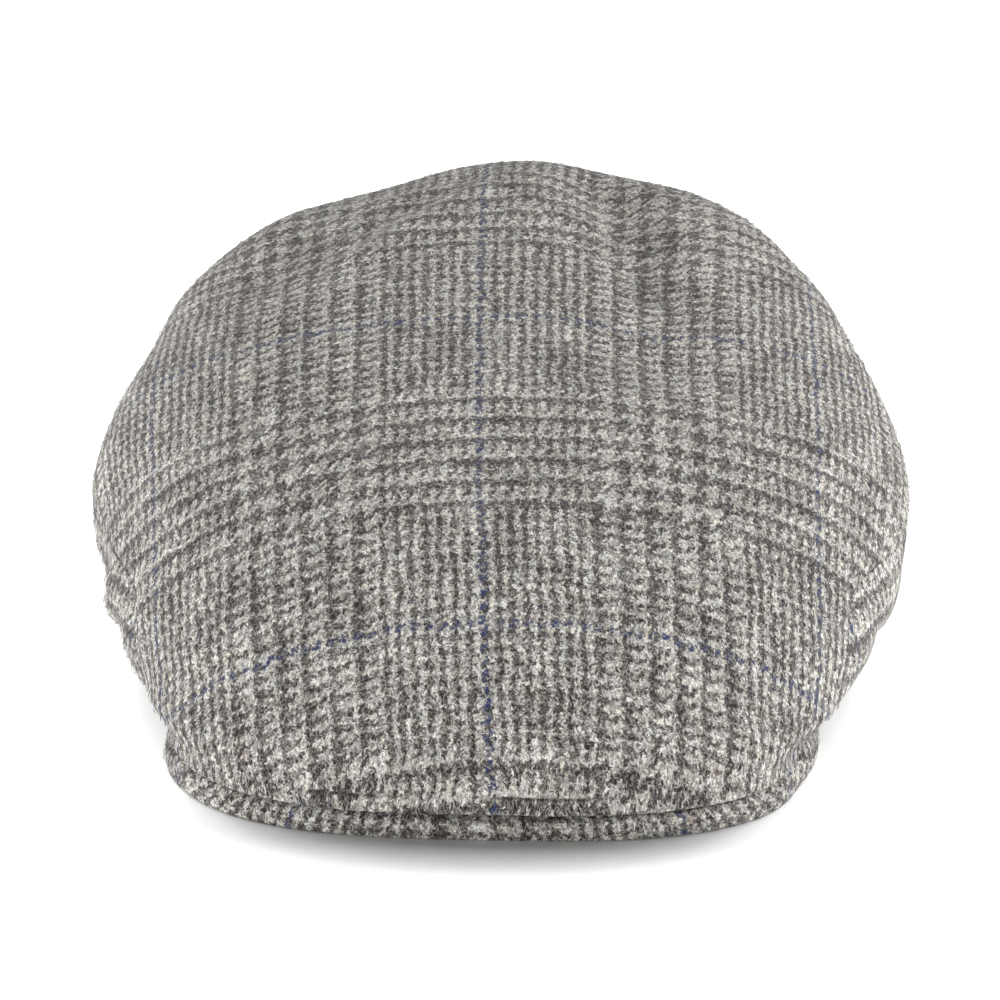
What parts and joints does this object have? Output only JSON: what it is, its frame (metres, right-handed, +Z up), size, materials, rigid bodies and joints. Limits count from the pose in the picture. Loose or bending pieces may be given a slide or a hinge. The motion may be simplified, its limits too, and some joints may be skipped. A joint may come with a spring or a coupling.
{
  "type": "flat cap",
  "caption": "Soft flat cap of wool check tweed, its wide top drawn forward and sewn down on a short stiff peak, open below for the head.",
  "frame": {"origin": "on the table under the middle of the cap's box", "axes": "+Z up, the cap resting on its hem and peak; -Y towards the front of the peak; +X to the right as seen from the front, which is the wearer's left"},
  "size_m": [0.2314, 0.274, 0.1042],
  "materials": {
    "check_tweed": "matt"
  },
  "bodies": {
    "root": {"top_panel": "check_tweed", "side_panel_left": "check_tweed", "side_panel_right": "check_tweed", "peak": "check_tweed"}
  },
  "joints": []
}
